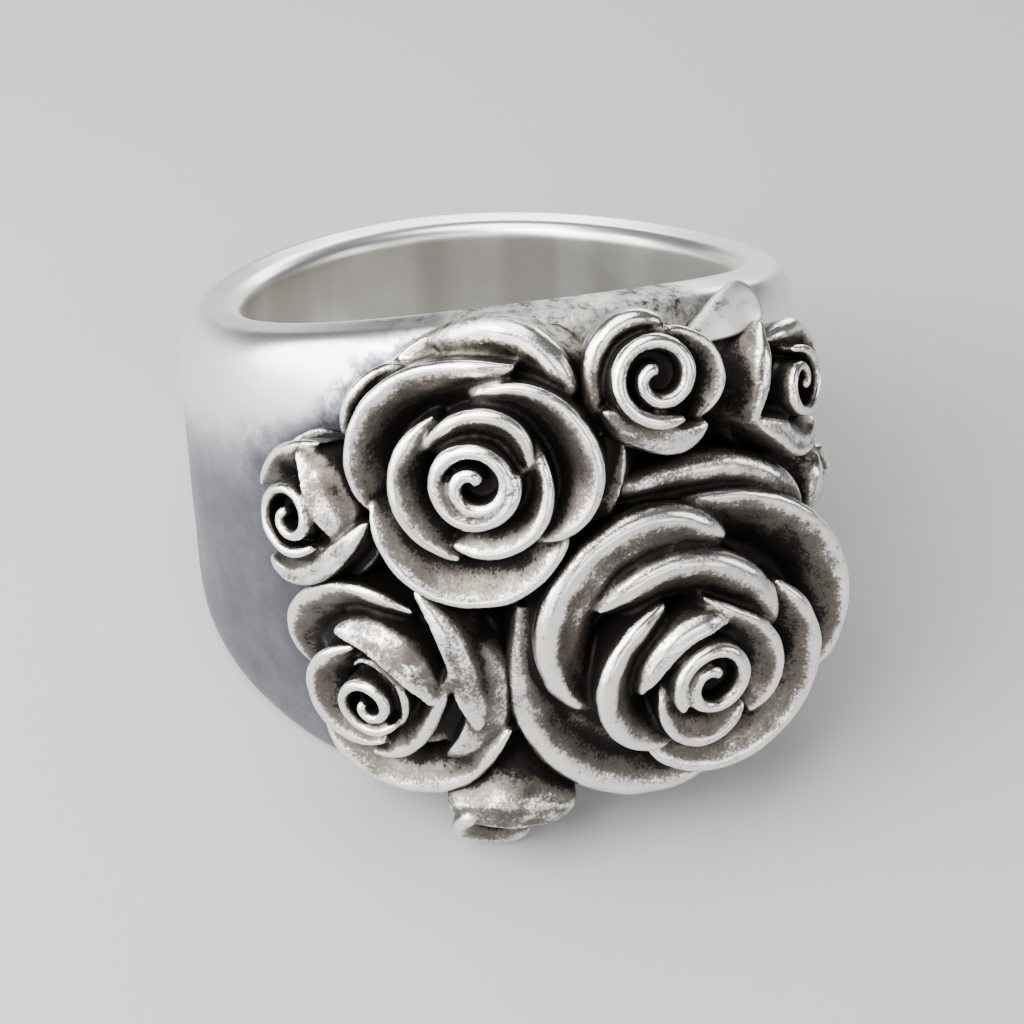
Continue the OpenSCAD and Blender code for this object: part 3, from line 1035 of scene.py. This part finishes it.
def shared_group(
    title: str, inputs: dict[str, float], outputs: tuple[str, ...]
) -> tuple[Tree, bpy.types.Node, bpy.types.Node]:
    """A new shader group with named values in and out.

    Args:
        title: The group's name.
        inputs: Each input's name and default.
        outputs: Each output's name.

    Returns:
        The group, its input node and its output node.
    """
    tree = bpy.data.node_groups.new(title, "ShaderNodeTree")
    for name, value in inputs.items():
        tree.interface.new_socket(name, in_out="INPUT", socket_type="NodeSocketFloat").default_value = value
    for name in outputs:
        tree.interface.new_socket(name, in_out="OUTPUT", socket_type="NodeSocketFloat")
    return tree, tree.nodes.new("NodeGroupInput"), tree.nodes.new("NodeGroupOutput")


def tarnish_group() -> Tree:
    """The oxide left in the hollows, lifted by the painted highlight under the band's upper rim: its mask, from
    bright silver at 0 to black at 1.

    Returns:
        The group.
    """
    inputs = {"Low": 0.3, "High": 0.7, "Lean On Relief": 0.3, "Patches": 0.3, "Speckle": 0.4}
    tree, given, out = shared_group("tarnish", inputs, ("Mask",))
    n = Nodes(tree)
    openness, relief, stain, painted_highlight = (n.measure(m) for m in ("openness", "relief", "stain", "painted_highlight"))
    patches = n.maths("SUBTRACT", n.grain(1.1, 4, rough=0.6), 0.5)
    specks = n.maths("SUBTRACT", n.grain(9.0, 4, rough=0.7), 0.5)
    level = n.plus(openness, relief, given.outputs["Lean On Relief"])
    blotch = n.spread(n.grain(1.3, 6, rough=0.68), 0.34, 0.66, to=(0.2, 1.3))
    level = n.maths("SUBTRACT", level, n.times(stain, blotch))
    # painted highlight: the level is raised under the band's upper rim, so the wall is painted lighter at the top
    level = n.plus(n.maths("ADD", level, painted_highlight), patches, given.outputs["Patches"])
    level = n.plus(level, specks, given.outputs["Speckle"])
    mask = n.spread(level, given.outputs["Low"], given.outputs["High"], to=(1.0, 0.0))
    tree.links.new(mask, out.inputs["Mask"])
    return tree


def scratch_group() -> Tree:
    """Fine scratches from filing and polishing, and the small pits of a casting.

    Returns:
        The group.
    """
    tree, _, out = shared_group("scratches", {}, ("Scratches", "Pits"))
    n = Nodes(tree)
    across = n.grain(1.6, 3, stretch=(0.35, 9.0, 9.0), turn=(0.3, 0.5, 0.4), rough=0.6)
    along = n.grain(1.6, 3, stretch=(9.0, 0.4, 9.0), turn=(0.7, 0.2, -0.5), rough=0.6)
    steep = n.grain(1.8, 3, stretch=(9.0, 9.0, 0.4), turn=(-0.4, 0.6, 0.2), rough=0.6)
    lines = n.maths("MAXIMUM", n.maths("MAXIMUM", across, along), steep)
    holes = n.spread(n.grain(4.5, 2, rough=0.4), 0.66, 0.76)
    tree.links.new(n.spread(lines, 0.52, 0.78), out.inputs["Scratches"])
    tree.links.new(holes, out.inputs["Pits"])
    return tree


@dataclass(frozen=True)
class SilverFinish:
    """One finish of the silver, from its bright places to its black ones."""

    finish: Finish
    bright: Four
    plain: Four
    worn_and_shade: Four
    oxide: Four
    low: float
    high: float
    relief: float = 0.15
    patches: float = 0.2
    speckle: float = 0.2
    gloss: float = 0.34
    satin: float = 0.42
    scratch: float = 0.3
    pits: float = 0.1
    waves: float = 0.2
    # strength of a painted reflection: soft upright streaks of the darker tone in the colour
    reflection_bands: float = 0.0
    crust: Four = (0.56, 0.54, 0.45, 1.0)
    plain_at: float = 0.36
    worn_and_shade_at: Point = (0.16, 0.7)
    oxide_at: Point = (0.74, 1.0)
    cloud_dim: float = 0.86
    crust_cover: float = 0.85
    scratch_dirt: float = 0.1
    scratch_rough: float = 0.12
    oxide_rough: float = 0.2
    cloud_rough: float = 0.15
    crust_rough: float = 0.15
    oxide_dull: float = 0.15
    scratch_deep: float = 0.35
    fine_deep: float = 0.9
    crust_deep: float = 6.0
    bump: Point = (0.6, 0.02)

    def dress(self, groups: dict[str, Tree]) -> Material:
        """Builds the material.

        Args:
            groups: The shared effects.

        Returns:
            The material.
        """
        material = bpy.data.materials.new(self.finish.value)
        material.use_nodes = True
        tree = material.node_tree
        tree.nodes.clear()
        n = Nodes(tree)
        tarnish = n.add("Group", node_tree=groups["tarnish"])
        given = {"Low": self.low, "High": self.high, "Lean On Relief": self.relief}
        given |= {"Patches": self.patches, "Speckle": self.speckle}
        for title, value in given.items():
            tarnish.inputs[title].default_value = value
        mask = tarnish.outputs["Mask"]
        marks = n.add("Group", node_tree=groups["scratches"])
        scratches, pits = marks.outputs["Scratches"], marks.outputs["Pits"]
        cloud = n.grain(0.35, 3)
        fine = n.grain(14.0, 4, rough=0.65)
        half = n.spread(mask, *self.worn_and_shade_at)
        full = n.spread(mask, *self.oxide_at)
        dimmed = tuple(self.cloud_dim * c for c in self.bright[:3]) + (1.0,)
        silver = n.blend(n.spread(cloud, 0.35, 0.7), self.bright, dimmed)
        silver = n.blend(n.spread(mask, 0.0, self.plain_at), silver, self.plain)
        # painted reflection: soft upright streaks standing in for the light and dark that a brushed bore mirrors
        reflection_bands = n.spread(n.grain(0.5, 1, stretch=(1.0, 0.3, 0.06), turn=(-0.227, 0.0, 0.0)), 0.38, 0.62)
        silver = n.blend(n.times(reflection_bands, self.reflection_bands), silver, self.worn_and_shade)
        colour = n.blend(half, silver, self.worn_and_shade)
        colour = n.blend(full, colour, self.oxide)
        pitted = n.measure("rough")
        crust = n.grain(2.6, 6, rough=0.75)
        cover = n.times(pitted, self.crust_cover)
        colour = n.blend(cover, colour, n.blend(n.spread(crust, 0.4, 0.62), self.worn_and_shade, self.crust))
        colour = n.blend(n.times(pitted, n.spread(crust, 0.47, 0.36)), colour, self.oxide)
        colour = n.blend(n.times(pits, self.pits), colour, self.oxide)
        colour = n.blend(n.times(scratches, self.scratch_dirt * self.scratch), colour, self.worn_and_shade)
        rough = n.plus(self.gloss, half, self.satin - self.gloss)
        rough = n.plus(rough, full, self.oxide_rough)
        rough = n.plus(rough, scratches, self.scratch_rough * self.scratch)
        rough = n.plus(rough, n.maths("SUBTRACT", cloud, 0.5), self.cloud_rough)
        rough = n.plus(rough, pitted, self.crust_rough)
        metal = n.maths("SUBTRACT", 1.0, n.times(full, self.oxide_dull))
        height = n.times(scratches, -self.scratch_deep * self.scratch)
        height = n.plus(height, pits, -self.pits)
        height = n.plus(height, n.times(fine, mask), self.fine_deep)
        height = n.plus(height, n.grain(0.9, 2), self.waves)
        height = n.plus(height, n.times(crust, pitted), self.crust_deep)
        strength, deep = self.bump
        bump = n.add("Bump", {"Height": height, "Strength": strength, "Distance": deep * MM})
        shader = n.add(
            "BsdfPrincipled",
            {"Base Color": colour, "Metallic": metal, "Roughness": rough, "Normal": bump.outputs[0]},
        )
        out = n.add("OutputMaterial")
        tree.links.new(shader.outputs[0], out.inputs["Surface"])
        return material


# the plain and darker mid tones are dark partly from the oxide and partly as painted shade, standing in for the
# dark reflections the petals' faces would show
ROSE_SILVER = SilverFinish(
    finish=Finish.PETAL,
    bright=(0.96, 0.935, 0.885, 1.0),
    plain=(0.2, 0.182, 0.157, 1.0),
    worn_and_shade=(0.1, 0.088, 0.075, 1.0),
    oxide=(0.008, 0.0065, 0.0055, 1.0),
    low=0.42, high=1.3, relief=0.58, patches=0.5, speckle=0.8,
    gloss=0.19, satin=0.36, scratch=0.6, pits=0.5,
)
# the plain and darker mid tones are dark partly as painted shade, standing in for darker reflections in the wall;
# with the painted highlight under the upper rim the wall is painted lighter at the top and darker below
BAND_SILVER = SilverFinish(
    finish=Finish.BAND,
    bright=(0.95, 0.95, 0.955, 1.0),
    plain=(0.36, 0.363, 0.385, 1.0),
    worn_and_shade=(0.085, 0.087, 0.101, 1.0),
    oxide=(0.035, 0.03, 0.028, 1.0),
    low=0.2, high=2.0, patches=0.25, speckle=0.12,
    gloss=0.3, scratch=0.05, pits=0.0, waves=0.3,
)
# the bore's upright streaks are a painted reflection in the colour
BORE_SILVER = SilverFinish(
    finish=Finish.BORE,
    bright=(0.82, 0.8, 0.755, 1.0),
    plain=(0.74, 0.72, 0.68, 1.0),
    worn_and_shade=(0.5, 0.485, 0.45, 1.0),
    oxide=(0.05, 0.045, 0.04, 1.0),
    low=-0.6, high=0.3, relief=0.2, patches=0.3,
    satin=0.45, scratch=0.6, waves=0.6, reflection_bands=0.6,
)
LEAF_SILVER = SilverFinish(
    finish=Finish.LEAF,
    bright=(0.92, 0.9, 0.87, 1.0),
    plain=(0.86, 0.83, 0.79, 1.0),
    worn_and_shade=(0.42, 0.39, 0.35, 1.0),
    oxide=(0.02, 0.017, 0.015, 1.0),
    low=-0.3, high=0.45,
)


@dataclass(frozen=True)
class SoftBox:
    """A soft area light that looks at the ring."""

    name: str
    place: Three
    size: Point
    power: float
    colour: Three = (1.0, 1.0, 1.0)


@dataclass(frozen=True)
class Studio:
    """The plain pale floor, the soft lights and the camera."""

    camera_place: Three = (-17.0, -49.867, 58.368)
    camera_target: Three = (-0.705, -4.464, 7.468)
    camera_roll: float = 5.837
    camera_angle: float = 29.846
    camera_clip: Point = (0.001, 10.0)
    floor_half: float = 0.6
    floor_rough: float = 0.7
    floor_colour: Four = (0.38, 0.38, 0.38, 1.0)
    world_colour: Four = (0.13, 0.135, 0.145, 1.0)
    lights_target: Three = (0.0, -2.0, 9.0)
    boxes: tuple[SoftBox, ...] = (
        SoftBox("key_light", (-85, -35, 115), (90, 75), 0.34),
        SoftBox("top_light", (-30, 25, 170), (130, 120), 0.34),
        SoftBox("back_light", (95, 160, 52), (150, 60), 0.2),
        SoftBox("window_light", (-125, -5, 50), (150, 96), 0.42, (0.95, 0.98, 1.0)),
        SoftBox("front_light", (25, -165, 140), (140, 70), 0.14),
        SoftBox("low_light", (40, -175, 40), (180, 50), 0.09),
        SoftBox("corner_light", (-120, -135, 48), (90, 70), 0.1),
        SoftBox("side_light", (110, -50, 60), (40, 70), 0.04),
    )

    def aimed(self, place: Vector, target: Vector, roll: float) -> Matrix:
        """A placing at a point that looks at another.

        Args:
            place: Where it stands.
            target: What it looks at.
            roll: How far it is rolled to the left, in degrees.

        Returns:
            The placing.
        """
        ahead = (target - place).normalized()
        side = ahead.cross(Vector((0, 0, 1))).normalized()
        above = side.cross(ahead)
        a = radians(roll)
        right = side * cos(a) + above * sin(a)
        up = above * cos(a) - side * sin(a)
        turn = Matrix((right, up, -ahead)).transposed().to_4x4()
        return Matrix.Translation(place) @ turn

    def lay_floor(self) -> None:
        """Lays the plain floor, which isn't part of the ring."""
        bm = bmesh.new()
        bmesh.ops.create_grid(bm, x_segments=1, y_segments=1, size=self.floor_half)
        floor = stood("floor", set_hard("floor", bm))
        paint = bpy.data.materials.new("floor_paint")
        paint.use_nodes = True
        shader = paint.node_tree.nodes["Principled BSDF"]
        shader.inputs["Base Color"].default_value = self.floor_colour
        shader.inputs["Roughness"].default_value = self.floor_rough
        floor.data.materials.append(paint)

    def hang_lights(self) -> None:
        """Hangs the soft lights and fills the world with a little light."""
        for box in self.boxes:
            light = bpy.data.lights.new(box.name, "AREA")
            light.shape = "RECTANGLE"
            light.size, light.size_y = box.size[0] * MM, box.size[1] * MM
            light.energy = box.power
            light.color = box.colour
            lamp = stood(box.name, light)
            lamp.matrix_world = self.aimed(Vector(box.place) * MM, Vector(self.lights_target) * MM, 0)
        world = bpy.data.worlds.new("studio")
        world.use_nodes = True
        world.node_tree.nodes["Background"].inputs["Color"].default_value = self.world_colour
        bpy.context.scene.world = world

    def set_camera(self) -> None:
        """Sets the camera at the photo's viewing angle."""
        lens = bpy.data.cameras.new("camera")
        lens.sensor_fit = "HORIZONTAL"
        lens.angle = radians(self.camera_angle)
        lens.clip_start, lens.clip_end = self.camera_clip
        camera = stood("camera", lens)
        place, target = Vector(self.camera_place) * MM, Vector(self.camera_target) * MM
        camera.matrix_world = self.aimed(place, target, self.camera_roll)
        bpy.context.scene.camera = camera


def main() -> None:
    """Builds the ring, its finishes and the studio."""
    logging.basicConfig(level=logging.INFO, format="%(name)s: %(message)s")
    studio = Studio()
    studio.lay_floor()
    studio.hang_lights()
    studio.set_camera()
    groups = {"tarnish": tarnish_group(), "scratches": scratch_group()}
    petal, wall, bore, blade = (f.dress(groups) for f in (ROSE_SILVER, BAND_SILVER, BORE_SILVER, LEAF_SILVER))
    band = Band()
    pieces = [band.build()]
    band.dress(pieces[0], wall, bore)
    for maker, silver in [(rose, petal) for rose in ROSES] + [(Leaf(), blade)]:
        pieces.append(maker.build())
        pieces[-1].data.materials.append(silver)
    Wear(rays=30).mark(pieces)
    log.info("triangles in all: %d", sum(len(p.vertices) - 2 for made in pieces for p in made.data.polygons))


if __name__ == "__main__":
    main()
